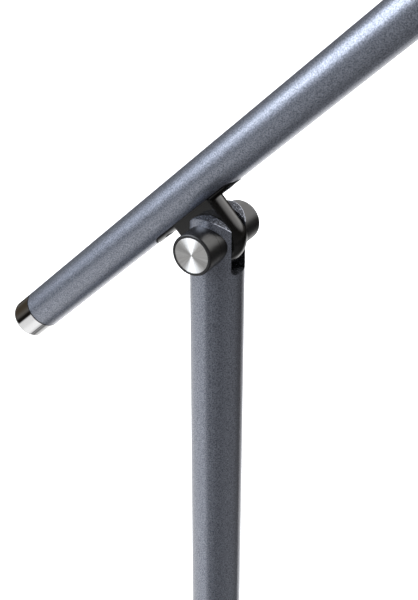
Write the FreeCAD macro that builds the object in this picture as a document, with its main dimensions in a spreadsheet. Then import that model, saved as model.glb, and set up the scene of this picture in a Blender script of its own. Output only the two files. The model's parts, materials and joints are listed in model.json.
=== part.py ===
import FreeCAD, Part
import Sketcher
import math
import os

# Swing arm desk lamp. Row frame: +Z up, millimetres, origin where the pole's axis meets the desk.
# The arm rises towards +X, and the tilt joint's axis lies along Y with its clamp knob on the -Y side.

SIZES = [
    # pole and fork
    ("pivot_height", 400.0),
    ("pole_diameter", 25.0),
    ("pole_wall", 1.5),
    ("ear_radius", 12.9),
    ("slot_width", 12.7),
    ("slot_depth", 14.6),
    ("slot_corner", 2.5),
    ("insert_length", 34.0),
    ("bolt_radius", 3.0),
    ("running_gap", 0.05),
    ("small_gap", 0.1),
    ("slot_floor", 5.0),
    ("lead_channel", 3.0),
    ("terminal_height", 3.0),
    ("cutter", 60.0),
    ("spare", 1.0),
    # hinge bracket
    ("tongue_thickness", 11.8),
    ("tongue_radius", 13.4),
    ("bush_radius", 4.5),
    ("plug_length", 57.0),
    ("plug_width", 10.5),
    ("plug_proud", 0.3),
    ("plug_height", 2.3),
    ("bracket_screw_pitch", 42.0),
    ("bracket_screw_radius", 1.5),
    ("bracket_head_radius", 2.9),
    ("strip_height", 4.0),
    ("screw_end_gap", 0.5),
    ("hex_key_radius", 1.1),
    ("hex_key_depth", 1.0),
    # clamp knobs
    ("knob_radius", 9.8),
    ("knob_seat", 13.3),
    ("knob_face", 22.6),
    ("knob_edge", 0.7),
    ("rear_knob_end", 23.1),
    ("rear_knob_edge", 2.5),
    ("disc_radius", 8.35),
    ("disc_thickness", 0.8),
    ("disc_recess", 0.1),
    ("saddle_gap", 0.1),
    ("washer_thickness", 0.35),
    ("washer_radius", 9.0),
    ("saddle_root", 4.0),
    ("knob_gap", 0.15),
    ("bolt_blind", 3.0),
    # arm
    ("arm_tilt", 43.84),
    ("arm_offset", 24.0),
    ("arm_diameter", 20.0),
    ("arm_wall", 1.2),
    ("arm_tail", 118.9),
    ("arm_reach", 330.0),
    ("cap_length", 14.0),
    ("cap_edge", 2.4),
    ("cap_spigot", 12.0),
    ("window_depth", 4.0),
    ("tail_weight_length", 70.0),
    ("tail_weight_gap", 0.5),
    ("tail_weight_tip", 2.0),
    ("tail_weight_step", 1.5),
    ("arm_lead_start", 34.0),
    ("arm_lead_end_gap", 2.0),
    ("nose_spigot", 22.0),
    ("nose_collar", 3.0),
    ("nose_reach", 18.0),
    ("nose_width", 8.0),
    ("nose_radius", 7.5),
    # head
    ("head_radius", 72.0),
    ("head_depth", 17.0),
    ("head_wall", 1.8),
    ("head_edge", 5.0),
    ("head_centre", 92.0),
    ("fork_gap", 8.2),
    ("fork_ear", 4.0),
    ("fork_radius", 7.5),
    ("fork_reach", 30.0),
    ("fork_root", 7.5),
    ("fork_screw_spread", 5.2),
    ("fork_screw_radius", 1.5),
    ("fork_screw_length", 9.0),
    ("fork_screw_head", 2.6),
    ("fork_screw_head_height", 1.8),
    ("fork_screw_gap", 0.6),
    ("head_bolt_radius", 2.0),
    ("head_bolt_head", 3.8),
    ("head_bolt_head_height", 2.2),
    ("head_nut_radius", 3.6),
    ("head_nut_height", 3.8),
    ("head_nut_dome", 1.0),
    ("head_washer_radius", 4.4),
    ("head_washer_thickness", 0.6),
    ("board_radius", 63.0),
    ("board_thickness", 1.6),
    ("chip_size", 3.5),
    ("chip_height", 0.7),
    ("chip_inner_circle", 22.0),
    ("chip_outer_circle", 48.0),
    ("diffuser_radius", 66.0),
    ("diffuser_thickness", 2.5),
    ("diffuser_gap", 0.1),
    ("lip_height", 0.8),
    ("lip_width", 1.0),
    ("head_bezel_height", 5.4),
    # base
    ("base_radius", 110.0),
    ("base_height", 28.0),
    ("base_wall", 2.0),
    ("base_edge", 8.0),
    ("plate_bottom", 4.0),
    ("plate_thickness", 1.5),
    ("plate_radius", 106.0),
    ("weight_radius", 100.0),
    ("weight_thickness", 12.0),
    ("bush_bore", 8.0),
    ("bush_body", 10.5),
    ("flange_radius", 17.0),
    ("flange_thickness", 1.2),
    ("collar_radius", 16.0),
    ("collar_height", 3.0),
    ("collar_edge", 0.8),
    ("spigot_plug", 30.0),
    ("spigot_bore", 4.0),
    ("spigot_end", 7.4),
    ("nut_radius", 13.0),
    ("nut_height", 4.0),
    ("pole_washer_rim", 2.0),
    ("pole_washer_thickness", 1.6),
    ("contact_radius", 2.2),
    ("contact_tip", 0.3),
    ("contact_length", 8.0),
    ("leaf_length", 34.0),
    ("leaf_width", 6.0),
    ("leaf_thickness", 0.6),
    ("leaf_overhang", 4.0),
    ("dimple_radius", 1.6),
    ("dimple_rise", 0.7),
    ("foot_circle", 92.0),
    ("foot_radius", 7.0),
    ("base_screw_circle", 62.0),
    ("base_screw_radius", 2.0),
    ("base_screw_head", 3.6),
    ("base_screw_head_height", 2.2),
    ("base_screw_grip", 10.0),
    ("driver_length", 5.4),
    ("driver_width", 0.9),
    ("driver_depth", 0.7),
    ("hole_reach", 30.0),
    ("spacer_radius", 4.5),
    ("inlet_radius", 3.8),
    ("inlet_height", 9.7),
    ("inlet_length", 15.0),
    ("inlet_proud", 2.4),
    ("inlet_socket", 2.75),
    ("inlet_socket_depth", 9.5),
    ("inlet_pin_radius", 1.05),
    ("inlet_pin_length", 8.6),
    ("inlet_nut_thickness", 1.6),
    ("inlet_nut_rim", 1.6),
    ("lead_elbow", 28.0),
    ("switch_position", 76.0),
    ("switch_radius", 9.0),
    ("switch_depth", 12.0),
    ("switch_clearance", 1.0),
    ("button_well", 6.0),
    ("button_sunk", 3.5),
    ("button_edge", 0.8),
    ("button_radius", 7.0),
    ("button_gap", 0.3),
    ("button_proud", 2.2),
    ("bezel_height", 1.2),
    ("bezel_flange", 2.0),
    ("bezel_slope", 0.8),
    ("bezel_side", 0.72),
    ("lead_radius", 1.5),
]

FRONT = FreeCAD.Rotation(FreeCAD.Vector(0, 0, 1), 180)
ALONG_X = FreeCAD.Rotation(FreeCAD.Vector(0, 1, 0), 90)
ALONG_Y = FreeCAD.Rotation(FreeCAD.Vector(1, 0, 0), -90)
AS_BUILT = FreeCAD.Rotation()

doc = FreeCAD.newDocument("desk_lamp")
sheet = doc.addObject("Spreadsheet::Sheet", "Sizes")
for row, (alias, value) in enumerate(SIZES, start=1):
    sheet.set("A%d" % row, alias)
    sheet.set("B%d" % row, str(value))
    sheet.setAlias("B%d" % row, alias)
doc.recompute()

ALIASES = [alias for alias, value in SIZES]
NODES = []


def size(alias):
    """One driving dimension, in millimetres or degrees."""
    return float(sheet.get(alias))


def bound(text):
    """Turn a short formula such as 'pole_diameter / 2' into one that reads the sheet."""
    words = text.replace("(", " ( ").replace(")", " ) ").split()
    formula = " ".join("Sizes." + word if word in ALIASES else word for word in words)
    return formula.replace("sin (", "sin(").replace("cos (", "cos(")


def bind(thing, prop, text):
    thing.setExpression(prop, bound(text))


def number(text):
    """The value of a formula now, used to lay a sketch out before its constraints are bound."""
    probe = doc.getObject("Probe") or doc.addObject("App::FeaturePython", "Probe")
    if "result" not in probe.PropertiesList:
        probe.addProperty("App::PropertyFloat", "result")
    probe.setExpression("result", bound(text))
    doc.recompute([probe])
    return probe.result


def put(thing, x="0", y="0", z="0", rotation=AS_BUILT):
    """Place an object, each coordinate a formula."""
    thing.Placement = FreeCAD.Placement(FreeCAD.Vector(), rotation)
    for axis, text in (("x", x), ("y", y), ("z", z)):
        if text != "0":
            bind(thing, "Placement.Base." + axis, text)
    return thing


def node(thing, label):
    """Register a finished sub-part under its node name."""
    thing.Label = label
    NODES.append(thing)
    return thing


def at_pivot(thing, rotation=AS_BUILT):
    """Frame with its origin on the tilt axis."""
    return put(thing, z="pivot_height", rotation=rotation)


def arm_rotation():
    return FreeCAD.Rotation(FreeCAD.Vector(0, -1, 0), size("arm_tilt"))


def at_arm_axis(thing):
    """Frame on the arm tube's centre line, above the pivot, X along the arm."""
    put(thing, "-1 * arm_offset * sin ( arm_tilt * 1deg )", "0",
        "pivot_height + arm_offset * cos ( arm_tilt * 1deg )", arm_rotation())
    bind(thing, "Placement.Rotation.Angle", "arm_tilt")
    return thing


HEAD_X = ("( arm_reach + nose_reach ) * cos ( arm_tilt * 1deg )"
          " - arm_offset * sin ( arm_tilt * 1deg )")
HEAD_Z = ("pivot_height + ( arm_reach + nose_reach ) * sin ( arm_tilt * 1deg )"
          " + arm_offset * cos ( arm_tilt * 1deg )")


def at_head(thing, x="0", z="0", rotation=AS_BUILT):
    """Frame with its origin on the head's tilt axis, level."""
    return put(thing, HEAD_X + " + " + x, "0", HEAD_Z + " + " + z, rotation)


# ---- building blocks ----------------------------------------------------------------

def plane(body, role):
    for feature in body.Origin.OriginFeatures:
        if feature.Role == role:
            return feature


def outline(body, role, corners):
    """A closed sketch on one of the body's own planes; each corner is a pair of formulas."""
    sketch = body.newObject("Sketcher::SketchObject", body.Name + "_outline")
    sketch.AttachmentSupport = (plane(body, role), [""])
    sketch.MapMode = "FlatFace"
    spots = [FreeCAD.Vector(number(u), number(v), 0) for u, v in corners]
    count = len(spots)
    for i in range(count):
        sketch.addGeometry(Part.LineSegment(spots[i], spots[(i + 1) % count]), False)
    for i in range(count):
        sketch.addConstraint(Sketcher.Constraint("Coincident", i, 2, (i + 1) % count, 1))
    for i, (u, v) in enumerate(corners):
        fix_corner(sketch, i, "DistanceX", u, spots[i].x, -2)
        fix_corner(sketch, i, "DistanceY", v, spots[i].y, -1)
    return sketch


def fix_corner(sketch, i, kind, text, value, axis):
    """Tie one corner to the sketch's origin, or to an axis when its coordinate is zero."""
    if text == "0":
        sketch.addConstraint(Sketcher.Constraint("PointOnObject", i, 1, axis))
        return
    index = sketch.addConstraint(Sketcher.Constraint(kind, -1, 1, i, 1, value))
    sketch.setExpression("Constraints[%d]" % index, bound(text))


def turned(name, role, axis, corners):
    """A turned piece: its half section revolved about one of the sketch's axes."""
    body = doc.addObject("PartDesign::Body", name)
    sketch = outline(body, role, corners)
    spin = body.newObject("PartDesign::Revolution", name + "_turned")
    spin.Profile = sketch
    spin.ReferenceAxis = (sketch, [axis])
    spin.Angle = 360
    doc.recompute()
    return body


def upright(name, corners):
    """Turned about Z; corners are (radius, height)."""
    return turned(name, "XZ_Plane", "V_Axis", corners)


def along_arm(name, corners):
    """Turned about X; corners are (distance along X, radius)."""
    return turned(name, "XZ_Plane", "H_Axis", corners)


def along_pivot(name, corners):
    """Turned about Y; corners are (distance along Y, radius)."""
    return turned(name, "YZ_Plane", "H_Axis", corners)


def edge_names(shape, wanted):
    return ["Edge%d" % (i + 1) for i, edge in enumerate(shape.Edges) if wanted(edge)]


def rim(radius, spot, axis):
    """Chooses the circular edge of one radius at one station along an axis."""
    def wanted(edge):
        curve = edge.Curve
        if not hasattr(curve, "Radius"):
            return False
        station = getattr(curve.Center, axis)
        return abs(curve.Radius - number(radius)) < 0.01 and abs(station - number(spot)) < 0.01
    return wanted


def rounded(body, wanted, radius):
    """Round chosen edges of a body's tip."""
    base = body.Tip
    fillet = body.newObject("PartDesign::Fillet", body.Name + "_round")
    fillet.Base = (base, edge_names(base.Shape, wanted))
    bind(fillet, "Radius", radius)
    doc.recompute()
    return body


def cylinder(name, radius, height, x="0", y="0", z="0", rotation=AS_BUILT):
    thing = doc.addObject("Part::Cylinder", name)
    bind(thing, "Radius", radius)
    bind(thing, "Height", height)
    return put(thing, x, y, z, rotation)


def block(name, length, width, height, x, y, z):
    thing = doc.addObject("Part::Box", name)
    bind(thing, "Length", length)
    bind(thing, "Width", width)
    bind(thing, "Height", height)
    return put(thing, x, y, z)


def cut(name, base, tool):
    thing = doc.addObject("Part::Cut", name)
    thing.Base = base
    thing.Tool = tool
    return thing


def fuse(name, pieces):
    thing = doc.addObject("Part::MultiFuse", name)
    thing.Shapes = pieces
    thing.Refine = True
    return thing


def common(name, pieces):
    thing = doc.addObject("Part::MultiCommon", name)
    thing.Shapes = pieces
    return thing


def copies(name, pieces):
    """Several identical loose pieces as one sub-part."""
    thing = doc.addObject("Part::Compound", name)
    thing.Links = pieces
    return thing


def ring_spots(count, start):
    """Unit directions spread round a circle, as pairs of factors."""
    turns = [math.radians(start + 360.0 * i / count) for i in range(count)]
    return [("%.6f" % math.cos(turn), "%.6f" % math.sin(turn)) for turn in turns]


def circle_of(name, radius, height, circle, count, start, z):
    """Equal upright cylinders on a circle about Z."""
    pieces = []
    for i, (across, along) in enumerate(ring_spots(count, start)):
        pieces.append(cylinder("%s_%d" % (name, i + 1), radius, height,
                               circle + " * " + across, circle + " * " + along, z))
    return pieces


# ---- base ---------------------------------------------------------------------------

WEIGHT_BOTTOM = "base_height - base_wall - weight_thickness"
PLATE_TOP = "plate_bottom + plate_thickness"
LEAF_TOP = PLATE_TOP + " + leaf_thickness"
INLET_ROTATION = FreeCAD.Rotation(FreeCAD.Vector(0, -1, 0), 90)


def make_base():
    shell = upright("cover_shell", [
        ("bush_body", "base_height"),
        ("base_radius", "base_height"),
        ("base_radius", "plate_bottom"),
        ("base_radius - base_wall", "plate_bottom"),
        ("base_radius - base_wall", "base_height - base_wall"),
        ("bush_body", "base_height - base_wall")])
    rounded(shell, rim("base_radius", "base_height", "z"), "base_edge")
    rounded(shell, rim("base_radius - base_wall", "base_height - base_wall", "z"),
            "base_edge - base_wall")
    cover_holes = fuse("cover_holes", [
        cylinder("cover_inlet_hole", "inlet_radius", "hole_reach",
                 "hole_reach / 2 - base_radius", "0", "inlet_height", INLET_ROTATION),
        cylinder("cover_switch_hole", "switch_radius", "hole_reach", "switch_position", "0",
                 "base_height - hole_reach / 2")])
    node(cut("base_cover_cut", shell, cover_holes), "base_cover")

    blank = upright("weight_blank", [
        ("bush_body", WEIGHT_BOTTOM),
        ("weight_radius", WEIGHT_BOTTOM),
        ("weight_radius", "base_height - base_wall"),
        ("bush_body", "base_height - base_wall")])
    screw_holes = circle_of("weight_hole", "base_screw_radius", "base_screw_grip", "base_screw_circle",
                            4, 45, WEIGHT_BOTTOM)
    switch_pocket = cylinder("switch_pocket", "switch_radius + switch_clearance", "base_height",
                             "switch_position")
    weight_holes = fuse("weight_holes", screw_holes + [switch_pocket])
    node(cut("base_weight_cut", blank, weight_holes), "base_weight")

    plate = upright("plate_blank", [
        ("0", "plate_bottom"),
        ("plate_radius", "plate_bottom"),
        ("plate_radius", PLATE_TOP),
        ("0", PLATE_TOP)])
    plate_holes = fuse("plate_holes", circle_of(
        "plate_hole", "base_screw_radius", "base_height", "base_screw_circle", 4, 45, "0"))
    node(cut("base_plate_cut", plate, plate_holes), "base_plate")

    spacers = []
    for i, post in enumerate(circle_of("spacer_post", "spacer_radius",
                                       WEIGHT_BOTTOM + " - plate_bottom - plate_thickness",
                                       "base_screw_circle", 4, 45, PLATE_TOP)):
        spacers.append(cut("spacer_%d" % (i + 1), post, plate_holes))
    node(copies("base_spacer_set", spacers), "base_spacers")

    shanks = circle_of("base_shank", "base_screw_radius",
                       WEIGHT_BOTTOM + " + base_screw_grip - plate_bottom", "base_screw_circle", 4, 45,
                       "plate_bottom")
    heads = circle_of("base_head", "base_screw_head", "base_screw_head_height", "base_screw_circle",
                      4, 45, "plate_bottom - base_screw_head_height")
    slots = []
    for i, (across, along) in enumerate(ring_spots(4, 45)):
        slots.append(block("base_slot_%d" % (i + 1), "driver_length", "driver_width",
                           "2 * driver_depth",
                           "base_screw_circle * " + across + " - driver_length / 2",
                           "base_screw_circle * " + along + " - driver_width / 2",
                           "plate_bottom - base_screw_head_height - driver_depth"))
    screws = []
    for i in range(4):
        whole = fuse("base_screw_%d" % (i + 1), [shanks[i], heads[i]])
        screws.append(cut("base_screw_cut_%d" % (i + 1), whole, slots[i]))
    node(copies("base_screw_set", screws), "base_screws")

    feet = circle_of("foot", "foot_radius", "plate_bottom", "foot_circle", 5, 0, "0")
    feet.append(cylinder("foot_centre", "foot_radius", "plate_bottom"))
    node(copies("foot_set", feet), "base_feet")

    node(upright("swivel_bush_turned", [
        ("bush_bore + running_gap", WEIGHT_BOTTOM),
        ("bush_body", WEIGHT_BOTTOM),
        ("bush_body", "base_height"),
        ("flange_radius", "base_height"),
        ("flange_radius", "base_height + flange_thickness"),
        ("bush_bore + running_gap", "base_height + flange_thickness")]), "swivel_bush")

    contact = block("contact_leaf", "leaf_length", "leaf_width", "leaf_thickness",
                    "leaf_overhang - leaf_length", "-1 * leaf_width / 2", PLATE_TOP)
    dimple = cylinder("contact_dimple", "dimple_radius", "leaf_thickness + dimple_rise",
                      "0", "0", PLATE_TOP)
    node(fuse("base_contact_leaf", [contact, dimple]), "base_contact")


def make_inlet_and_switch():
    inlet = turned("inlet_barrel", "XZ_Plane", "H_Axis", [
        ("0", "0"),
        ("inlet_length", "0"),
        ("inlet_length", "inlet_radius"),
        ("0", "inlet_radius")])
    put(inlet, "-1 * base_radius - inlet_proud", "0", "inlet_height")
    floor = "inlet_socket_depth - inlet_proud - base_radius"
    socket = cylinder("inlet_socket_hole", "inlet_socket", "hole_reach", floor, "0",
                      "inlet_height", INLET_ROTATION)
    hollow = cut("inlet_hollow", inlet, socket)
    pin = cylinder("inlet_pin", "inlet_pin_radius", "inlet_pin_length", floor, "0",
                   "inlet_height", INLET_ROTATION)
    node(fuse("dc_inlet_barrel", [hollow, pin]), "dc_inlet")

    nut = turned("inlet_nut_turned", "XZ_Plane", "H_Axis", [
        ("0", "inlet_radius"),
        ("inlet_nut_thickness", "inlet_radius"),
        ("inlet_nut_thickness", "inlet_radius + inlet_nut_rim"),
        ("0", "inlet_radius + inlet_nut_rim")])
    put(nut, "-1 * base_radius - inlet_nut_thickness - small_gap", "0", "inlet_height")
    node(nut, "inlet_nut")

    elbow = doc.addObject("Part::Sphere", "base_lead_elbow")
    bind(elbow, "Radius", "lead_radius")
    put(elbow, "-1 * lead_elbow", "0", "inlet_height")
    tail = cylinder("base_lead_tail", "lead_radius", "inlet_height - ( " + LEAF_TOP + " )",
                    "-1 * lead_elbow", "0", LEAF_TOP)
    run = cylinder("base_lead_run", "lead_radius",
                   "base_radius + inlet_proud - inlet_length - lead_elbow",
                   "-1 * lead_elbow", "0", "inlet_height", INLET_ROTATION)
    node(fuse("base_lead_whole", [run, elbow, tail]), "base_lead")

    body = upright("switch_module", [
        ("0", "0"),
        ("switch_radius", "0"),
        ("switch_radius", "switch_depth"),
        ("button_radius + button_gap", "switch_depth"),
        ("button_radius + button_gap", "button_well"),
        ("0", "button_well")])
    put(body, "switch_position", "0", "base_height - switch_depth")
    node(body, "switch_body")

    bezel = upright("switch_bezel_turned", [
        ("button_radius + button_gap", "0"),
        ("switch_radius + bezel_flange", "0"),
        ("switch_radius + bezel_flange", "bezel_side"),
        ("switch_radius + bezel_flange - bezel_slope", "bezel_height"),
        ("button_radius + button_gap", "bezel_height")])
    put(bezel, "switch_position", "0", "base_height")
    node(bezel, "switch_bezel")

    cap_height = "button_sunk + bezel_height + button_proud"
    cap = upright("button_turned", [
        ("0", "0"),
        ("button_radius", "0"),
        ("button_radius", cap_height),
        ("0", cap_height)])
    rounded(cap, rim("button_radius", cap_height, "z"), "button_edge")
    put(cap, "switch_position", "0", "base_height - button_sunk")
    node(cap, "button_cap")


# ---- pole ---------------------------------------------------------------------------

COLLAR_BOTTOM = "base_height + flange_thickness + small_gap"
COLLAR_TOP = COLLAR_BOTTOM + " + collar_height"
WASHER_TOP = WEIGHT_BOTTOM + " - small_gap"
WASHER_BOTTOM = WASHER_TOP + " - pole_washer_thickness"
TERMINAL_TOP = "pivot_height - slot_depth - slot_floor"
TERMINAL_BOTTOM = TERMINAL_TOP + " - terminal_height"


def make_pole():
    node(upright("spigot_turned", [
        ("spigot_bore", "spigot_end"),
        ("bush_bore", "spigot_end"),
        ("bush_bore", COLLAR_BOTTOM),
        ("collar_radius", COLLAR_BOTTOM),
        ("collar_radius", COLLAR_TOP + " - collar_edge"),
        ("collar_radius - collar_edge", COLLAR_TOP),
        ("pole_diameter / 2 - pole_wall", COLLAR_TOP),
        ("pole_diameter / 2 - pole_wall", COLLAR_TOP + " + spigot_plug"),
        ("spigot_bore", COLLAR_TOP + " + spigot_plug")]), "pole_spigot")

    node(upright("pole_washer_turned", [
        ("bush_bore", WASHER_BOTTOM),
        ("nut_radius + pole_washer_rim", WASHER_BOTTOM),
        ("nut_radius + pole_washer_rim", WASHER_TOP),
        ("bush_bore", WASHER_TOP)]), "pole_washer")

    blank = doc.addObject("Part::Prism", "pole_nut_blank")
    blank.Polygon = 6
    bind(blank, "Circumradius", "nut_radius")
    bind(blank, "Height", "nut_height")
    put(blank, "0", "0", WASHER_BOTTOM + " - nut_height")
    hole = cylinder("pole_nut_hole", "bush_bore", "hole_reach")
    node(cut("pole_nut_cut", blank, hole), "pole_nut")

    node(upright("pole_contact_turned", [
        ("0", "spigot_end - contact_tip"),
        ("contact_radius", "spigot_end - contact_tip"),
        ("contact_radius", "spigot_end"),
        ("spigot_bore", "spigot_end"),
        ("spigot_bore", "spigot_end + contact_length"),
        ("0", "spigot_end + contact_length")]), "pole_contact")

    make_fork()

    node(upright("pole_lead_turned", [
        ("0", "spigot_end + contact_length"),
        ("lead_radius", "spigot_end + contact_length"),
        ("lead_radius", TERMINAL_BOTTOM),
        ("0", TERMINAL_BOTTOM)]), "pole_lead")


def make_fork():
    """Pole tube and its solid fork insert, slotted and rounded together."""
    slot = block("slot_block", "cutter", "slot_width", "slot_depth + cutter / 2",
                 "-1 * cutter / 2", "-1 * slot_width / 2", "pivot_height - slot_depth")
    doc.recompute()
    soft = doc.addObject("Part::Fillet", "slot_tool")
    soft.Base = slot
    floor = number("pivot_height - slot_depth")
    soft.Edges = [(i + 1, size("slot_corner"), size("slot_corner"))
                  for i, edge in enumerate(slot.Shape.Edges)
                  if abs(edge.CenterOfMass.z - floor) < 0.01 and edge.Length > size("slot_width") + 1]
    above = block("ear_block", "cutter", "cutter", "cutter / 2",
                  "-1 * cutter / 2", "-1 * cutter / 2", "pivot_height")
    dome = cylinder("ear_dome", "ear_radius", "cutter", "0", "-1 * cutter / 2", "pivot_height",
                    ALONG_Y)
    crown = cut("ear_tool", above, dome)
    bore = cylinder("bolt_hole", "bolt_radius", "cutter", "0", "-1 * cutter / 2", "pivot_height",
                    ALONG_Y)
    cutter = fuse("fork_tool", [soft, crown, bore])

    blank_top = "pivot_height + ear_radius + spare"
    tube = upright("pole_tube_blank", [
        ("pole_diameter / 2 - pole_wall", COLLAR_TOP),
        ("pole_diameter / 2", COLLAR_TOP),
        ("pole_diameter / 2", blank_top),
        ("pole_diameter / 2 - pole_wall", blank_top)])
    node(cut("pole_tube_cut", tube, cutter), "pole_tube")

    bottom = "pivot_height - slot_depth - insert_length"
    insert = upright("fork_insert_blank", [
        ("lead_channel", bottom),
        ("pole_diameter / 2 - pole_wall", bottom),
        ("pole_diameter / 2 - pole_wall", blank_top),
        ("0", blank_top),
        ("0", TERMINAL_TOP),
        ("lead_channel", TERMINAL_TOP)])
    node(cut("fork_insert_cut", insert, cutter), "fork_insert")

    terminal = upright("fork_terminal_turned", [
        ("0", TERMINAL_BOTTOM),
        ("lead_channel", TERMINAL_BOTTOM),
        ("lead_channel", TERMINAL_TOP),
        ("0", TERMINAL_TOP)])
    node(terminal, "fork_terminal")


def saddle(name, gap):
    """Spacer between a knob and the round pole: flat outside, hollowed to the pole inside."""
    ring = along_pivot(name + "_ring", [
        ("saddle_root", "bolt_radius + running_gap"),
        ("knob_seat", "bolt_radius + running_gap"),
        ("knob_seat", "knob_radius"),
        ("saddle_root", "knob_radius")])
    tube = cylinder(name + "_pole", "pole_diameter / 2 + " + gap, "cutter", "0", "0",
                    "-1 * cutter / 2")
    return cut(name + "_cut", ring, tube)


def make_tilt_joint():
    node(at_pivot(saddle("rear_saddle", "0")), "rear_saddle")
    node(at_pivot(saddle("front_saddle", "saddle_gap"), FRONT), "front_saddle")

    rear = along_pivot("rear_knob_turned", [
        ("knob_seat", "bolt_radius"),
        ("knob_seat", "knob_radius"),
        ("rear_knob_end", "knob_radius"),
        ("rear_knob_end", "0"),
        ("rear_knob_end - bolt_blind", "0"),
        ("rear_knob_end - bolt_blind", "bolt_radius")])
    rounded(rear, rim("knob_radius", "rear_knob_end", "y"), "rear_knob_edge")
    node(at_pivot(rear), "rear_knob")

    bolt = along_pivot("pivot_bolt_turned", [
        ("0", "0"),
        ("rear_knob_end + knob_face - 2 * bolt_blind", "0"),
        ("rear_knob_end + knob_face - 2 * bolt_blind", "bolt_radius"),
        ("0", "bolt_radius")])
    put(bolt, "0", "bolt_blind - knob_face", "pivot_height")
    node(bolt, "pivot_bolt")

    washers = []
    for name, rotation in (("side_washer_front", FRONT), ("side_washer_rear", AS_BUILT)):
        washer = along_pivot(name, [
            ("slot_width / 2 - washer_thickness", "bolt_radius + running_gap"),
            ("slot_width / 2", "bolt_radius + running_gap"),
            ("slot_width / 2", "washer_radius"),
            ("slot_width / 2 - washer_thickness", "washer_radius")])
        washers.append(at_pivot(washer, rotation))
    node(copies("side_washer_set", washers), "side_washers")

    knob = along_pivot("front_knob_turned", [
        ("knob_seat + knob_gap", "bush_radius"),
        ("knob_seat + knob_gap", "knob_radius"),
        ("knob_face", "knob_radius"),
        ("knob_face", "disc_radius"),
        ("knob_face - disc_recess - disc_thickness", "disc_radius"),
        ("knob_face - disc_recess - disc_thickness", "bush_radius")])
    rounded(knob, rim("knob_radius", "knob_face", "y"), "knob_edge")
    node(at_pivot(knob, FRONT), "front_knob")

    insert = along_pivot("knob_insert_turned", [
        ("knob_seat + knob_gap", "bolt_radius + running_gap"),
        ("knob_seat + knob_gap", "bush_radius"),
        ("knob_face - disc_recess - disc_thickness", "bush_radius"),
        ("knob_face - disc_recess - disc_thickness", "bolt_radius + running_gap")])
    node(at_pivot(insert, FRONT), "knob_insert")

    disc = along_pivot("knob_disc_turned", [
        ("knob_face - disc_recess - disc_thickness", "0"),
        ("knob_face - disc_recess", "0"),
        ("knob_face - disc_recess", "disc_radius"),
        ("knob_face - disc_recess - disc_thickness", "disc_radius")])
    node(at_pivot(disc, FRONT), "knob_disc")


# ---- arm ----------------------------------------------------------------------------

def oblong(name, bottom, height):
    """Round-ended plug outline as a solid, along the arm, below its centre line."""
    middle = block(name + "_middle", "plug_length - plug_width", "plug_width", height,
                   "-1 * ( plug_length - plug_width ) / 2", "-1 * plug_width / 2", bottom)
    ends = []
    for tag, sign in (("tail", "-1"), ("front", "1")):
        ends.append(cylinder(name + "_" + tag, "plug_width / 2", height,
                             sign + " * ( plug_length - plug_width ) / 2", "0", bottom))
    return fuse(name, [middle] + ends)


def make_arm():
    tube = along_arm("arm_tube_blank", [
        ("0", "arm_diameter / 2 - arm_wall"),
        ("arm_tail + arm_reach", "arm_diameter / 2 - arm_wall"),
        ("arm_tail + arm_reach", "arm_diameter / 2"),
        ("0", "arm_diameter / 2")])
    put(tube, "-1 * arm_tail")
    window = oblong("arm_window", "-1 * arm_diameter / 2 - spare", "window_depth + spare")
    node(at_arm_axis(cut("arm_tube_cut", tube, window)), "arm_tube")

    make_bracket()

    weight = along_arm("tail_weight_turned", [
        ("0", "0"),
        ("tail_weight_length", "0"),
        ("tail_weight_length", "arm_diameter / 2 - arm_wall"),
        ("0", "arm_diameter / 2 - arm_wall")])
    put(weight, "-1 * arm_tail + cap_spigot + tail_weight_gap")
    tip = cylinder("tail_weight_end", "arm_diameter / 2 - arm_wall - tail_weight_step",
                   "tail_weight_tip",
                   "-1 * arm_tail + cap_spigot + tail_weight_gap + tail_weight_length",
                   "0", "0", ALONG_X)
    node(at_arm_axis(fuse("tail_weight_rod", [weight, tip])), "tail_weight")

    cap = along_arm("end_cap_turned", [
        ("0", "0"),
        ("cap_length + cap_spigot", "0"),
        ("cap_length + cap_spigot", "arm_diameter / 2 - arm_wall"),
        ("cap_length", "arm_diameter / 2 - arm_wall"),
        ("cap_length", "arm_diameter / 2"),
        ("0", "arm_diameter / 2")])
    rounded(cap, rim("arm_diameter / 2", "0", "x"), "cap_edge")
    put(cap, "-1 * arm_tail - cap_length")
    node(at_arm_axis(copies("end_cap_placed", [cap])), "end_cap")

    lead = cylinder("arm_lead_run", "lead_radius",
                    "arm_reach - nose_spigot - arm_lead_end_gap - arm_lead_start",
                    "arm_lead_start", "0", "0", ALONG_X)
    node(at_arm_axis(copies("arm_lead_placed", [lead])), "arm_lead")

    make_nose()


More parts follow.
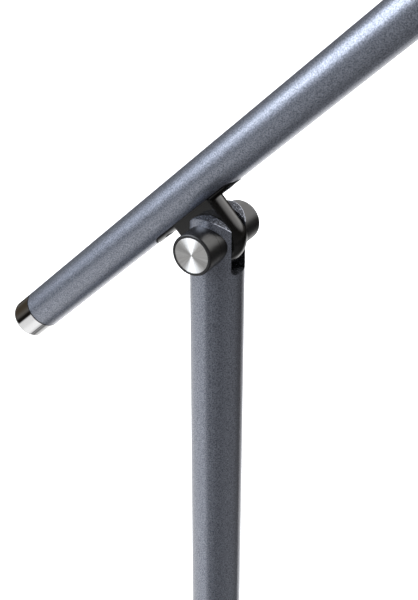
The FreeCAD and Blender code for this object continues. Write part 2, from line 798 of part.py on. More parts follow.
def make_bracket():
    """Round-ended tongue with two flats, carried by an oblong plug that follows the tube's skin."""
    ball = doc.addObject("Part::Sphere", "tongue_ball")
    bind(ball, "Radius", "tongue_radius")
    put(ball, "0", "0", "-1 * arm_offset")
    neck = cylinder("tongue_neck", "tongue_radius", "arm_offset - arm_diameter / 4", "0", "0",
                    "-1 * arm_offset")
    bar = fuse("tongue_bar", [ball, neck])
    flats = block("tongue_flats", "cutter", "tongue_thickness", "cutter",
                  "-1 * cutter / 2", "-1 * tongue_thickness / 2", "-1 * arm_offset - cutter / 3")
    tongue = common("tongue_slab", [bar, flats])
    room = cylinder("tube_room", "arm_diameter / 2", "2 * cutter", "-1 * cutter", "0", "0", ALONG_X)
    seated = cut("tongue_seated", tongue, room)
    blank = oblong("bracket_plug_blank", "-1 * arm_diameter / 2 - plug_proud",
                   "plug_height + plug_proud")
    skin = cylinder("bracket_plug_skin", "arm_diameter / 2 + plug_proud", "2 * cutter",
                    "-1 * cutter", "0", "0", ALONG_X)
    plug = common("bracket_plug", [blank, skin])
    whole = fuse("bracket_whole", [seated, plug])
    bush_hole = cylinder("bush_hole", "bush_radius", "cutter", "0", "-1 * cutter / 2",
                         "-1 * arm_offset", ALONG_Y)
    shanks, heads = [], []
    for tag, sign in (("tail", "-1"), ("front", "1")):
        spot = sign + " * bracket_screw_pitch / 2"
        shanks.append(cylinder("bracket_shank_" + tag, "bracket_screw_radius",
                               "plug_height + plug_proud + strip_height - screw_end_gap", spot, "0",
                               "-1 * arm_diameter / 2 - plug_proud"))
        head = doc.addObject("Part::Cone", "bracket_head_" + tag)
        bind(head, "Radius1", "bracket_head_radius")
        bind(head, "Radius2", "bracket_screw_radius")
        bind(head, "Height", "bracket_head_radius - bracket_screw_radius")
        put(head, spot, "0", "-1 * arm_diameter / 2 - plug_proud")
        heads.append(head)
    screws = [fuse("bracket_screw_" + tag, [shanks[i], heads[i]])
              for i, tag in enumerate(("tail", "front"))]
    holes = fuse("bracket_holes", [bush_hole] + screws)
    node(at_arm_axis(cut("hinge_bracket_cut", whole, holes)), "hinge_bracket")

    sockets = []
    for i, tag in enumerate(("tail", "front")):
        key = doc.addObject("Part::Prism", "bracket_key_" + tag)
        key.Polygon = 6
        bind(key, "Circumradius", "hex_key_radius")
        bind(key, "Height", "2 * hex_key_depth")
        put(key, ("-1", "1")[i] + " * bracket_screw_pitch / 2", "0",
            "-1 * arm_diameter / 2 - plug_proud - hex_key_depth")
        sockets.append(cut("bracket_screw_keyed_" + tag, screws[i], key))
    node(at_arm_axis(copies("bracket_screw_set", sockets)), "bracket_screws")

    strip = block("strip_block", "plug_length", "plug_width", "strip_height",
                  "-1 * plug_length / 2", "-1 * plug_width / 2",
                  "-1 * arm_diameter / 2 + plug_height")
    inside = cylinder("tube_inside", "arm_diameter / 2 - arm_wall", "2 * cutter", "-1 * cutter",
                      "0", "0", ALONG_X)
    bar = common("strip_bar", [strip, inside])
    node(at_arm_axis(cut("strip_cut", bar, fuse("strip_holes", shanks))), "bracket_strip")

    bush = along_pivot("pivot_bush_turned", [
        ("0", "bolt_radius + running_gap"),
        ("tongue_thickness", "bolt_radius + running_gap"),
        ("tongue_thickness", "bush_radius"),
        ("0", "bush_radius")])
    put(bush, "0", "-1 * tongue_thickness / 2", "pivot_height")
    node(bush, "pivot_bush")


def make_nose():
    """Plug in the arm's front end with the lug that the head hangs on."""
    turned_part = along_arm("nose_turned", [
        ("0", "0"),
        ("nose_spigot + nose_collar", "0"),
        ("nose_spigot + nose_collar", "arm_diameter / 2"),
        ("nose_spigot", "arm_diameter / 2"),
        ("nose_spigot", "arm_diameter / 2 - arm_wall"),
        ("0", "arm_diameter / 2 - arm_wall")])
    put(turned_part, "arm_reach - nose_spigot")
    lug = block("nose_lug", "nose_reach - nose_collar + spare", "nose_width", "nose_radius * 2",
                "arm_reach + nose_collar - spare", "-1 * nose_width / 2", "-1 * nose_radius")
    eye = cylinder("nose_eye", "nose_radius", "nose_width", "arm_reach + nose_reach",
                   "-1 * nose_width / 2", "0", ALONG_Y)
    hole = cylinder("nose_hole", "head_bolt_radius + running_gap", "cutter",
                    "arm_reach + nose_reach", "-1 * cutter / 2", "0", ALONG_Y)
    whole = fuse("nose_whole", [turned_part, lug, eye])
    node(at_arm_axis(cut("arm_nose_cut", whole, hole)), "arm_nose")


# ---- head ---------------------------------------------------------------------------

SHELL_TOP = "head_depth / 2"
SHELL_BOTTOM = "-1 * head_depth / 2"


def make_head():
    shell = upright("head_shell_turned", [
        ("0", "head_depth"),
        ("head_radius", "head_depth"),
        ("head_radius", "0"),
        ("head_radius - head_wall", "0"),
        ("head_radius - head_wall", "head_depth - head_wall"),
        ("0", "head_depth - head_wall")])
    rounded(shell, rim("head_radius", "head_depth", "z"), "head_edge")
    rounded(shell, rim("head_radius - head_wall", "head_depth - head_wall", "z"),
            "head_edge - head_wall")
    holes = []
    for tag, side in (("left", "-1"), ("right", "1")):
        holes.append(cylinder("shell_hole_" + tag, "fork_screw_radius", "2 * head_wall + 2 * spare",
                              "-1 * head_radius + head_wall + spare",
                              side + " * fork_screw_spread", "head_depth / 2", INLET_ROTATION))
    shell_cut = cut("head_shell_cut", shell, fuse("shell_holes", holes))
    node(at_head(shell_cut, "head_centre", SHELL_BOTTOM), "head_shell")

    board = upright("board_turned", [
        ("0", "0"),
        ("board_radius", "0"),
        ("board_radius", "board_thickness"),
        ("0", "board_thickness")])
    board_bottom = SHELL_TOP + " - head_wall - board_thickness - small_gap"
    node(at_head(board, "head_centre", board_bottom), "led_board")

    chips = []
    for circle, count in (("chip_inner_circle", 8), ("chip_outer_circle", 16)):
        for i, (across, along) in enumerate(ring_spots(count, 0)):
            chips.append(block("%s_%d" % (circle, i + 1), "chip_size", "chip_size", "chip_height",
                               circle + " * " + across + " - chip_size / 2",
                               circle + " * " + along + " - chip_size / 2", "-1 * chip_height"))
    node(at_head(copies("chip_set", chips), "head_centre", board_bottom), "led_chips")

    diffuser = upright("diffuser_turned", [
        ("0", "0"),
        ("diffuser_radius", "0"),
        ("diffuser_radius", "diffuser_thickness"),
        ("0", "diffuser_thickness")])
    node(at_head(diffuser, "head_centre", SHELL_BOTTOM + " + lip_height"), "diffuser")

    bezel = upright("head_bezel_turned", [
        ("diffuser_radius + diffuser_gap", "lip_height"),
        ("diffuser_radius - lip_width", "lip_height"),
        ("diffuser_radius - lip_width", "0"),
        ("head_radius - head_wall", "0"),
        ("head_radius - head_wall", "head_bezel_height"),
        ("diffuser_radius + diffuser_gap", "head_bezel_height")])
    node(at_head(bezel, "head_centre", SHELL_BOTTOM), "head_bezel")

    make_head_fork()


def make_head_fork():
    """Fork that hangs the head on the arm's nose lug: two ears on a bridge bolted to the shell."""
    overall = "fork_gap + 2 * fork_ear"
    arms = block("fork_arms", "fork_reach", overall, "fork_radius * 2", "0",
                 "-1 * ( " + overall + " ) / 2", "-1 * fork_radius")
    knuckle = cylinder("fork_knuckle", "fork_radius", overall, "0", "-1 * ( " + overall + " ) / 2",
                       "0", ALONG_Y)
    gap = block("fork_gap_block", "fork_reach - fork_root", "fork_gap", "cutter",
                "-1 * fork_radius - spare", "-1 * fork_gap / 2", "-1 * cutter / 2")
    shell_room = cylinder("fork_shell_room", "head_radius", "cutter", "head_centre", "0",
                          "-1 * cutter / 2")
    hole = cylinder("fork_hole", "head_bolt_radius", "cutter", "0", "-1 * cutter / 2", "0", ALONG_Y)
    seat = "head_centre - head_radius + head_wall"
    taps = []
    for tag, side in (("left", "-1"), ("right", "1")):
        taps.append(cylinder("fork_tap_" + tag, "fork_screw_radius", "fork_screw_length",
                             seat + " + spare", side + " * fork_screw_spread", "0",
                             INLET_ROTATION))
    solid = fuse("fork_solid", [arms, knuckle])
    open_fork = cut("fork_open", solid, fuse("fork_cuts", [gap, shell_room, hole] + taps))
    node(at_head(open_fork), "head_fork")

    screws = []
    for i, side in enumerate(("-1", "1")):
        head = cylinder("fork_screw_head_%d" % (i + 1), "fork_screw_head", "fork_screw_head_height",
                        seat + " + fork_screw_gap + fork_screw_head_height",
                        side + " * fork_screw_spread", "0", INLET_ROTATION)
        shank = cylinder("fork_screw_shank_%d" % (i + 1), "fork_screw_radius", "fork_screw_length",
                         seat + " + spare", side + " * fork_screw_spread", "0", INLET_ROTATION)
        screws.append(fuse("fork_screw_%d" % (i + 1), [head, shank]))
    node(at_head(copies("fork_screw_set", screws)), "fork_screws")

    half = "( " + overall + " ) / 2"
    bolt_end = "head_bolt_head_height + 2 * head_washer_thickness + " + overall
    bolt_end += " + head_nut_height - head_nut_dome - spare / 2"
    bolt = along_pivot("head_bolt_turned", [
        ("0", "0"),
        (bolt_end, "0"),
        (bolt_end, "head_bolt_radius"),
        ("head_bolt_head_height", "head_bolt_radius"),
        ("head_bolt_head_height", "head_bolt_head"),
        ("0", "head_bolt_head")])
    put(bolt, HEAD_X, "-1 * " + half + " - head_bolt_head_height - head_washer_thickness", HEAD_Z)
    node(bolt, "head_bolt")

    nut = along_pivot("head_nut_turned", [
        ("0", "head_bolt_radius"),
        ("0", "head_nut_radius"),
        ("head_nut_height - head_nut_dome", "head_nut_radius"),
        ("head_nut_height", "head_nut_radius - head_nut_dome"),
        ("head_nut_height", "0"),
        ("head_nut_height - head_nut_dome", "0"),
        ("head_nut_height - head_nut_dome", "head_bolt_radius")])
    put(nut, HEAD_X, half + " + head_washer_thickness", HEAD_Z)
    node(nut, "head_nut")

    washers = []
    for tag, y in (("front", "-1 * " + half + " - head_washer_thickness"), ("rear", half)):
        washer = along_pivot("head_washer_" + tag, [
            ("0", "head_bolt_radius"),
            ("head_washer_thickness", "head_bolt_radius"),
            ("head_washer_thickness", "head_washer_radius"),
            ("0", "head_washer_radius")])
        washers.append(put(washer, HEAD_X, y, HEAD_Z))
    node(copies("head_washer_set", washers), "head_washers")


# ---- check and write ----------------------------------------------------------------

def check_document():
    """Stop when any object failed to rebuild or any sub-part has no sound solid."""
    for thing in doc.Objects:
        for state in thing.State:
            if state in ("Invalid", "Error"):
                raise RuntimeError("%s did not rebuild: %s" % (thing.Name, thing.State))
    for thing in NODES:
        if thing.Shape.isNull() or not thing.Shape.isValid():
            raise RuntimeError("%s has no valid shape" % thing.Label)
        if not thing.Shape.Solids:
            raise RuntimeError("%s holds no solid" % thing.Label)


make_base()
make_inlet_and_switch()
make_pole()
make_tilt_joint()
make_arm()
make_head()
doc.recompute()
check_document()
os.makedirs("parts", exist_ok=True)
for thing in NODES:
    thing.Shape.exportStep("parts/%s.step" % thing.Label)
    print("%-16s volume %12.1f mm3, %d solid(s)" % (
        thing.Label, thing.Shape.Volume, len(thing.Shape.Solids)))
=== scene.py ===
import json
import math

import bpy
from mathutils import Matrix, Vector


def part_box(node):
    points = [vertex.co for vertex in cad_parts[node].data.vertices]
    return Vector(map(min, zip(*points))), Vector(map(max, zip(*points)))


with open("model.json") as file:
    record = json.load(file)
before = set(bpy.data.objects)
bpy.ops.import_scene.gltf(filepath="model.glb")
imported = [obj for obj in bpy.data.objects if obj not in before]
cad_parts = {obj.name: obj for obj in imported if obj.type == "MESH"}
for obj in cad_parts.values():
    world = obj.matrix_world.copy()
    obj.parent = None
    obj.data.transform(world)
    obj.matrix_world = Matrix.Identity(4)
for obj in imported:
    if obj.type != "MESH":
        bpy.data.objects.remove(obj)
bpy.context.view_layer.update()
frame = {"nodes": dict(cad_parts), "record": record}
nodes = frame["nodes"]

# ---- camera ---------------------------------------------------------------------------

# Where the camera looks: turned from +Y and down, and moved aside and up from the clamp bolt.
AZIMUTH = math.radians(30.69)
PITCH = math.radians(28.36)
DISTANCE = 0.5486
AIM_RIGHT = -0.003825
AIM_UP = -0.028397
LENS = 73.43
SENSOR = 36


def middle_of(name):
    low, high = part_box(name)
    return (Vector(low) + Vector(high)) / 2


def add_camera():
    away = Vector((-math.sin(AZIMUTH) * math.cos(PITCH), math.cos(AZIMUTH) * math.cos(PITCH),
                   -math.sin(PITCH)))
    right = Vector((math.cos(AZIMUTH), math.sin(AZIMUTH), 0))
    up = right.cross(away)
    data = bpy.data.cameras.new("camera")
    data.lens = LENS
    data.sensor_width = SENSOR
    data.clip_start = 0.02
    camera = bpy.data.objects.new("camera", data)
    camera.location = middle_of("pivot_bush") - away * DISTANCE + right * AIM_RIGHT + up * AIM_UP
    camera.rotation_euler = away.to_track_quat("-Z", "Y").to_euler()
    bpy.context.scene.collection.objects.link(camera)
    bpy.context.scene.camera = camera


# ---- shader nodes ---------------------------------------------------------------------

def feed(tree, socket, value):
    """Give a socket another node's output, or a plain value."""
    if isinstance(value, bpy.types.NodeSocket):
        tree.links.new(value, socket)
    else:
        socket.default_value = value


def add(tree, kind, **values):
    made = tree.nodes.new(kind)
    for key, value in values.items():
        setattr(made, key, value)
    return made


def coordinates(tree, space):
    return tree.nodes.new("ShaderNodeTexCoord").outputs[space]


def calc(tree, operation, *values, clamp=False):
    """The result of a math node."""
    made = add(tree, "ShaderNodeMath", operation=operation, use_clamp=clamp)
    for socket, value in zip(made.inputs, values):
        feed(tree, socket, value)
    return made.outputs["Value"]


def vector_calc(tree, operation, *values, label=""):
    """The result of a vector math node."""
    made = add(tree, "ShaderNodeVectorMath", operation=operation, label=label)
    for socket, value in zip(made.inputs, values):
        feed(tree, socket, value)
    return made.outputs["Value" if operation in ("DOT_PRODUCT", "LENGTH") else "Vector"]


def scaled(tree, vector, amount):
    made = add(tree, "ShaderNodeVectorMath", operation="SCALE")
    feed(tree, made.inputs[0], vector)
    feed(tree, made.inputs["Scale"], amount)
    return made.outputs["Vector"]


def spread(tree, value, start=0.0, end=1.0, low=0.0, high=1.0, smooth=False):
    """A value between start and end, spread from low to high."""
    steps = "SMOOTHSTEP" if smooth else "LINEAR"
    made = add(tree, "ShaderNodeMapRange", interpolation_type=steps)
    feed(tree, made.inputs["Value"], value)
    made.inputs["From Min"].default_value = start
    made.inputs["From Max"].default_value = end
    made.inputs["To Min"].default_value = low
    made.inputs["To Max"].default_value = high
    return made.outputs["Result"]


def noise(tree, place, scale, detail=2.0, rough=0.5):
    made = tree.nodes.new("ShaderNodeTexNoise")
    made.inputs["Scale"].default_value = scale
    made.inputs["Detail"].default_value = detail
    made.inputs["Roughness"].default_value = rough
    feed(tree, made.inputs["Vector"], place)
    return made.outputs["Fac"]


def ramp(tree, value, stops):
    made = tree.nodes.new("ShaderNodeValToRGB")
    made.color_ramp.elements[0].position, made.color_ramp.elements[0].color = stops[0]
    made.color_ramp.elements[-1].position, made.color_ramp.elements[-1].color = stops[-1]
    for position, color in stops[1:-1]:
        made.color_ramp.elements.new(position).color = color
    feed(tree, made.inputs["Fac"], value)
    return made.outputs["Color"]


def multiplied(tree, amount, color, by):
    """One colour, multiplied by another as far as amount says."""
    made = add(tree, "ShaderNodeMix", data_type="RGBA", blend_type="MULTIPLY")
    feed(tree, made.inputs[0], amount)
    feed(tree, made.inputs[6], color)
    feed(tree, made.inputs[7], by)
    return made.outputs[2]


def bump(tree, height, strength, distance):
    made = tree.nodes.new("ShaderNodeBump")
    made.inputs["Strength"].default_value = strength
    made.inputs["Distance"].default_value = distance
    feed(tree, made.inputs["Height"], height)
    return made.outputs["Normal"]


def new_tree(name):
    made = bpy.data.materials.new(name)
    made.use_nodes = True
    made.node_tree.nodes.clear()
    return made, made.node_tree


def surface(tree, **values):
    """End a material's tree with a principled shader."""
    made = tree.nodes.new("ShaderNodeBsdfPrincipled")
    output = tree.nodes.new("ShaderNodeOutputMaterial")
    tree.links.new(made.outputs["BSDF"], output.inputs["Surface"])
    for key, value in values.items():
        feed(tree, made.inputs[key.replace("_", " ")], value)


def grey(value):
    return (value, value, value, 1)


def shaded(color, by):
    """An opaque colour, darker by a factor."""
    return tuple(part * by for part in color[:3]) + (1,)


# ---- masks on the paint ---------------------------------------------------------------

# How far inside the pole's skin the sawn faces start to show, and show in full.
SKIN_EDGE = (0.00015, 0.00040)

# The arm's direction, how far it stands off the clamp bolt and ends behind it, and the bracket's
# plug in its underside.
ARM_RISE = math.radians(43.84)
ARM_ALONG = (math.cos(ARM_RISE), 0, math.sin(ARM_RISE))
ARM_OUT = (-math.sin(ARM_RISE), 0, math.cos(ARM_RISE))
ARM_OFFSET = 0.024
ARM_TAIL = 0.1189
PLUG_LENGTH = 0.057
PLUG_WIDTH = 0.0105
# How far a seam's painted shadow line reaches on each side of it.
SEAM = 0.0010


def sawn_faces(tree):
    """Mask of the faces that lie inside the pole's outer skin."""
    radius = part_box("pole_tube")[1][0]
    level = vector_calc(tree, "MULTIPLY", coordinates(tree, "Object"), (1, 1, 0))
    distance = vector_calc(tree, "LENGTH", level)
    return spread(tree, distance, radius - SKIN_EDGE[0], radius - SKIN_EDGE[1])


def seam_at(tree, distance):
    """Mask of a seam's painted shadow line, from the signed distance to it."""
    return spread(tree, calc(tree, "ABSOLUTE", distance), SEAM, SEAM / 2)


def arm_seam_shadows(tree):
    """Mask of the painted shadow lines round the bracket's plug and at the arm tube's tail end."""
    shift = vector_calc(tree, "SUBTRACT", coordinates(tree, "Object"), middle_of("pivot_bush"))
    along = vector_calc(tree, "DOT_PRODUCT", shift, ARM_ALONG)
    across = vector_calc(tree, "DOT_PRODUCT", shift, (0, 1, 0))
    out = vector_calc(tree, "DOT_PRODUCT", shift, ARM_OUT)
    straight = (PLUG_LENGTH - PLUG_WIDTH) / 2
    past = calc(tree, "MAXIMUM", calc(tree, "SUBTRACT", calc(tree, "ABSOLUTE", along), straight), 0.0)
    squares = calc(tree, "ADD", calc(tree, "MULTIPLY", past, past),
                   calc(tree, "MULTIPLY", across, across))
    from_plug = calc(tree, "SUBTRACT", calc(tree, "SQRT", squares), PLUG_WIDTH / 2)
    beneath = calc(tree, "LESS_THAN", out, ARM_OFFSET)
    round_plug = calc(tree, "MULTIPLY", seam_at(tree, from_plug), beneath)
    at_tail = seam_at(tree, calc(tree, "ADD", along, ARM_TAIL))
    return calc(tree, "MAXIMUM", round_plug, at_tail)


# ---- materials ------------------------------------------------------------------------

# The paint's dark and light flakes.
BLUE_GREY = ((0.158, 0.171, 0.208, 1), (0.41, 0.438, 0.515, 1))
METALLIC = 0.85
PAINT_ROUGHNESS = 0.36
POLE_ROUGHNESS = 0.30
COAT = 0.6
COAT_ROUGHNESS = 0.08
# How much rougher it is where the coat is missing, and what the paint's colour is multiplied by on
# scratched sawn faces and in seams; in the seams the dark line is painted shade.
BARE_ROUGHNESS = 0.28
SAWN = (0.12, 0.36, 1.5)
# Painted shade: the greys of the dark line painted into the seams, where a gap's shadow would fall.
SEAM_SHADOW_GREYS = (0.02, 0.04, 0.10)


def flaked(tree, place, rough):
    """The colour, roughness and grain of a fine metallic flake."""
    dark, light = BLUE_GREY
    middle = tuple((a + b) / 2 for a, b in zip(dark, light))
    flake = noise(tree, place, scale=1700, detail=2.0, rough=0.7)
    cloud = noise(tree, place, scale=900, detail=3.0, rough=0.6)
    return (ramp(tree, flake, [(0.36, dark), (0.5, middle), (0.64, light)]),
            spread(tree, cloud, low=rough - 0.05, high=rough + 0.07),
            bump(tree, flake, strength=0.38, distance=0.00008))


# A speckled factor on the paint's colour: scratches on sawn faces, painted shade in the seams.
def scratches_and_seam_shadow(tree, place, shades):
    low, middle, high = shades
    speckle = noise(tree, place, scale=1100, detail=4.0, rough=0.75)
    return ramp(tree, speckle, [(0.40, grey(low)), (0.54, grey(middle)), (0.66, grey(high))])


def metallic_paint(name):
    """Satin metallic paint: fine flake under a smooth clear coat."""
    made, tree = new_tree(name)
    color, roughness, grain = flaked(tree, coordinates(tree, "Object"), PAINT_ROUGHNESS)
    surface(tree, Metallic=METALLIC, Base_Color=color, Roughness=roughness, Coat_Weight=COAT,
            Coat_Roughness=COAT_ROUGHNESS, Normal=grain)
    return made


def masked_paint(name, make_mask, rough, shades):
    """Metallic paint with an area that has no coat and is darker by shades, where make_mask's mask is
    one: scratched bare metal on sawn faces, painted shade in seams.
    """
    made, tree = new_tree(name)
    place = coordinates(tree, "Object")
    color, roughness, grain = flaked(tree, place, rough)
    mask = make_mask(tree)
    surface(tree, Metallic=METALLIC,
            Base_Color=multiplied(tree, mask, color, scratches_and_seam_shadow(tree, place, shades)),
            Roughness=calc(tree, "MULTIPLY_ADD", mask, BARE_ROUGHNESS, roughness),
            Coat_Weight=spread(tree, mask, low=COAT, high=0.0),
            Coat_Roughness=COAT_ROUGHNESS, Normal=grain)
    return made


def sawn_paint(name):
    """Thin paint over scratched sawn metal, with no coat at all."""
    made, tree = new_tree(name)
    place = coordinates(tree, "Object")
    color, roughness, grain = flaked(tree, place, PAINT_ROUGHNESS + BARE_ROUGHNESS)
    surface(tree, Metallic=METALLIC, Roughness=roughness, Normal=grain,
            Base_Color=multiplied(tree, 1.0, color, scratches_and_seam_shadow(tree, place, SAWN)))
    return made


def gloss_black(name, color, rough, metallic=0.0):
    """Glossy black: faint ripple and a trace of dust in the roughness."""
    made, tree = new_tree(name)
    place = coordinates(tree, "Object")
    dust = noise(tree, place, scale=1400, detail=4.0, rough=0.65)
    dusty = tuple(part * 1.5 + 0.004 for part in color[:3]) + (1,)
    ripple = noise(tree, place, scale=160, detail=1.0, rough=0.4)
    surface(tree, Metallic=metallic, Base_Color=ramp(tree, dust, [(0.3, color), (0.8, dusty)]),
            Roughness=spread(tree, dust, low=rough - 0.03, high=rough + 0.04),
            Normal=bump(tree, ripple, strength=0.03, distance=0.0002))
    return made


def polished(name, color, rough):
    """Plated metal: near mirror with light polishing haze."""
    made, tree = new_tree(name)
    haze = noise(tree, coordinates(tree, "Object"), scale=500, detail=4.0, rough=0.7)
    surface(tree, Metallic=1.0,
            Base_Color=ramp(tree, haze, [(0.2, shaded(color, 0.94)), (0.8, color)]),
            Roughness=spread(tree, haze, low=rough - 0.03, high=rough + 0.05),
            Normal=bump(tree, haze, strength=0.03, distance=0.00005))
    return made


def spun_metal(name, centre, color):
    """Circular brushed face: fine rings round an axis along Y, with painted reflection in lighter and
    darker wedges, brighter than white in places.
    """
    made, tree = new_tree(name)
    shift = vector_calc(tree, "SUBTRACT", coordinates(tree, "Object"), centre)
    flat = vector_calc(tree, "MULTIPLY", shift, (1, 0, 1))
    line_noise = add(tree, "ShaderNodeTexNoise", noise_dimensions="1D")
    line_noise.inputs["Scale"].default_value = 9000
    line_noise.inputs["Detail"].default_value = 3
    feed(tree, line_noise.inputs["W"], vector_calc(tree, "LENGTH", flat))
    rings = line_noise.outputs["Fac"]
    outward = vector_calc(tree, "NORMALIZE", flat)
    reflection_wedges = noise(tree, outward, scale=5.0, detail=3.0, rough=0.65)
    tint = ramp(tree, rings, [(0.3, shaded(color, 0.82)), (0.7, color)])
    surface(tree, Metallic=1.0, Anisotropic=0.97, Tangent=outward,
            # Painted reflection: the wedges scale the colour from 0.62 to 1.55 times.
            Base_Color=scaled(tree, tint, spread(tree, reflection_wedges, low=0.62, high=1.55)),
            Roughness=spread(tree, rings, low=0.34, high=0.42),
            Normal=bump(tree, rings, strength=0.12, distance=0.00003))
    return made


def brushed(name, color, rough):
    """Plain machined or plated steel with drawn lines."""
    made, tree = new_tree(name)
    drawn = add(tree, "ShaderNodeMapping")
    drawn.inputs["Scale"].default_value = (1, 1, 30)
    feed(tree, drawn.inputs["Vector"], coordinates(tree, "Object"))
    lines = noise(tree, drawn.outputs["Vector"], scale=300, detail=5.0, rough=0.7)
    surface(tree, Metallic=1.0,
            Base_Color=ramp(tree, lines, [(0.25, shaded(color, 0.75)), (0.75, color)]),
            Roughness=spread(tree, lines, low=rough - 0.08, high=rough + 0.1),
            Normal=bump(tree, lines, strength=0.1, distance=0.00005))
    return made


def moulded(name, color, rough, grain=1800):
    """Matt moulded plastic, rubber or powder coat: fine spark-eroded grain."""
    made, tree = new_tree(name)
    texture = noise(tree, coordinates(tree, "Object"), scale=grain, detail=3.0, rough=0.6)
    surface(tree, Base_Color=ramp(tree, texture, [(0.3, shaded(color, 0.7)), (0.7, color)]),
            Roughness=spread(tree, texture, low=rough - 0.06, high=rough + 0.1),
            Normal=bump(tree, texture, strength=0.3, distance=0.00008))
    return made


def make_looks():
    """A material for each of the record's slots."""
    return {
        "paint": masked_paint("paint_steel", sawn_faces, POLE_ROUGHNESS, SAWN),
        "paint_alloy": metallic_paint("paint_alloy"),
        "paint_dark": sawn_paint("paint_sawn"),
        "black_metal": gloss_black("black_coated", (0.013, 0.0125, 0.012, 1), 0.12, metallic=0.42),
        "black_gloss": gloss_black("black_knob", (0.010, 0.010, 0.011, 1), 0.31),
        "black_plastic": moulded("black_moulded", (0.022, 0.022, 0.023, 1), 0.5),
        "black_steel": moulded("black_powder_coat", (0.02, 0.02, 0.021, 1), 0.6, grain=1200),
        "plated": polished("chrome_plate", (0.82, 0.82, 0.825, 1), 0.05),
        "spun_aluminium": spun_metal("spun_disc", middle_of("knob_disc"), (0.9, 0.9, 0.89, 1)),
        "steel": brushed("plain_steel", (0.58, 0.58, 0.6, 1), 0.35),
        "brass": brushed("turned_brass", (0.72, 0.52, 0.24, 1), 0.3),
        "rubber": moulded("foot_rubber", (0.02, 0.02, 0.02, 1), 0.8, grain=900),
        "lead": moulded("lead_sheath", (0.03, 0.03, 0.03, 1), 0.55, grain=700),
        "board": moulded("board_mask", (0.82, 0.83, 0.81, 1), 0.4, grain=600),
        "led": moulded("led_phosphor", (0.85, 0.72, 0.25, 1), 0.35, grain=2500),
        "opal": moulded("opal_diffuser", (0.86, 0.86, 0.84, 1), 0.35, grain=2200),
    }


def finish_nodes():
    """Put each node's material on it. The arm tube has its own, with painted shadow lines at its
    seams.
    """
    looks = make_looks()
    seam_shadowed = masked_paint("paint_arm", arm_seam_shadows, PAINT_ROUGHNESS, SEAM_SHADOW_GREYS)
    for row in frame["record"]["subparts"]:
        look = seam_shadowed if row["node"] == "arm_tube" else looks[row["material_slot"]]
        mesh_object = nodes[row["node"]]
        mesh_object.data.materials.clear()
        mesh_object.data.materials.append(look)
        for slot in mesh_object.material_slots:
            slot.material = look


# ---- studio ---------------------------------------------------------------------------

# What the object reflects: turn right of the camera and height above the horizon, in degrees, the
# angles from the middle where each patch is full and where it ends, strength, and colour.
LAMPS = [
    ("left key", -80, 36, 29, 37, 4.1, (0.93, 0.98, 1.05)),
    ("front left box", -54, 28, 18, 28, 2.0, (0.96, 0.99, 1.03)),
    ("back right box", 128, 24, 10, 30, 2.8, (1.0, 0.99, 0.98)),
    ("back box", 175, 36, 14, 30, 2.0, (1.0, 0.99, 0.98)),
    ("front fill", 30, -30, 40, 88, 0.15, (0.97, 0.99, 1.04)),
]
PAPER = [
    ("left paper", -103, -40, 38, 47, 0.79, (1.0, 1.0, 1.0)),
    ("low left paper", -55, -68, 12, 28, 0.14, (1.0, 1.0, 1.0)),
    ("under paper", 150, -60, 14, 27, 0.62, (1.0, 1.0, 1.0)),
    ("back right paper", 170, -34, 10, 38, 1.0, (1.0, 1.0, 1.0)),
    ("front right paper", 60, -34, 16, 34, 0.09, (1.0, 1.0, 1.0)),
    ("front paper", -26, -32, 3, 14, 0.07, (1.0, 1.0, 1.0)),
]
# How far below the horizon, in degrees, the paper starts and is whole.
PAPER_STARTS = 20
PAPER_WHOLE = 26
# A thin dark gap in the paper under the object: the turn it faces, in degrees, how far that way its
# middle lies and half its width, and how steeply it has to be looked at.
GAP_TURN = -47
GAP_MIDDLE = 0.125
GAP_HALF = 0.036
GAP_STEEP = 0.95
# The dim room behind the paper, from the horizon (0) to straight down (1) as a sine.
ROOM = [(0.0, (0.045, 0.038, 0.030, 1)), (0.04, (0.060, 0.048, 0.034, 1)),
        (0.13, (0.105, 0.097, 0.088, 1)), (0.19, (0.070, 0.064, 0.058, 1)),
        (0.24, (0.008, 0.007, 0.006, 1)), (0.36, (0.008, 0.007, 0.006, 1)),
        (0.50, (0.05, 0.046, 0.042, 1))]
FLOOR_HALF = 3.0


def toward(turn, height):
    """Unit direction, turned right from the camera's side of the object and raised."""
    front = Vector((math.sin(AZIMUTH), -math.cos(AZIMUTH), 0))
    right = Vector((math.cos(AZIMUTH), math.sin(AZIMUTH), 0))
    turn, height = math.radians(turn), math.radians(height)
    level = front * math.cos(turn) + right * math.sin(turn)
    return level * math.cos(height) + Vector((0, 0, math.sin(height)))


def patches(tree, place, rows):
    """The summed colour of soft round patches of light, each seen in its own direction."""
    total = (0, 0, 0)
    for name, turn, height, full, end, strength, color in rows:
        facing = vector_calc(tree, "DOT_PRODUCT", place, toward(turn, height), label=name)
        amount = spread(tree, facing, math.cos(math.radians(end)), math.cos(math.radians(full)),
                        high=strength, smooth=True)
        total = vector_calc(tree, "ADD", total, scaled(tree, color, amount))
    return total


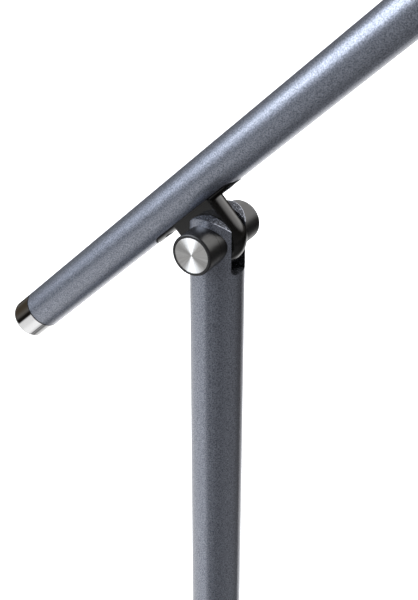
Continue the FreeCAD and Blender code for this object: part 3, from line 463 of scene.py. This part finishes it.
def paper_shows(tree, place, down):
    """How much of the paper shows: none above its edge and none in the gap."""
    below = spread(tree, down, math.sin(math.radians(PAPER_STARTS)),
                   math.sin(math.radians(PAPER_WHOLE)), smooth=True)
    aside = vector_calc(tree, "DOT_PRODUCT", place, toward(GAP_TURN, 0))
    in_gap = calc(tree, "MULTIPLY", calc(tree, "COMPARE", aside, GAP_MIDDLE, GAP_HALF),
                  calc(tree, "GREATER_THAN", down, GAP_STEEP))
    return calc(tree, "SUBTRACT", below, in_gap, clamp=True)


def surroundings():
    """White to the camera; to the object, a dim room with soft boxes over white paper."""
    world = bpy.data.worlds.new("studio")
    world.use_nodes = True
    tree = world.node_tree
    tree.nodes.clear()
    place = coordinates(tree, "Generated")
    down = vector_calc(tree, "DOT_PRODUCT", place, (0, 0, -1))
    paper = scaled(tree, patches(tree, place, PAPER), paper_shows(tree, place, down))
    lit = vector_calc(tree, "ADD", patches(tree, place, LAMPS), paper)
    room = tree.nodes.new("ShaderNodeBackground")
    feed(tree, room.inputs["Color"], vector_calc(tree, "ADD", lit, ramp(tree, down, ROOM)))
    white = tree.nodes.new("ShaderNodeBackground")
    white.inputs["Color"].default_value = grey(1)
    choice = tree.nodes.new("ShaderNodeMixShader")
    feed(tree, choice.inputs["Fac"], tree.nodes.new("ShaderNodeLightPath").outputs["Is Camera Ray"])
    feed(tree, choice.inputs[1], room.outputs["Background"])
    feed(tree, choice.inputs[2], white.outputs["Background"])
    output = tree.nodes.new("ShaderNodeOutputWorld")
    feed(tree, output.inputs["Surface"], choice.outputs["Shader"])
    bpy.context.scene.world = world


def floor_sheet():
    """White paper under the lamp, seen by the camera only so that it leaves every reflection alone."""
    mesh = bpy.data.meshes.new("floor")
    corners = [(x * FLOOR_HALF, y * FLOOR_HALF, 0) for x, y in ((-1, -1), (1, -1), (1, 1), (-1, 1))]
    mesh.from_pydata(corners, [], [(0, 1, 2, 3)])
    floor = bpy.data.objects.new("floor", mesh)
    made, tree = new_tree("floor_paper")
    fibre = noise(tree, coordinates(tree, "Object"), scale=40, detail=3.0)
    surface(tree, Roughness=0.9, Emission_Color=grey(1), Emission_Strength=0.72,
            Base_Color=ramp(tree, fibre, [(0.3, grey(0.90)), (0.7, grey(0.92))]))
    mesh.materials.append(made)
    floor.visible_glossy = False
    floor.visible_diffuse = False
    floor.visible_transmission = False
    bpy.context.scene.collection.objects.link(floor)


add_camera()
finish_nodes()
bpy.context.scene.view_settings.view_transform = "Standard"
surroundings()
floor_sheet()
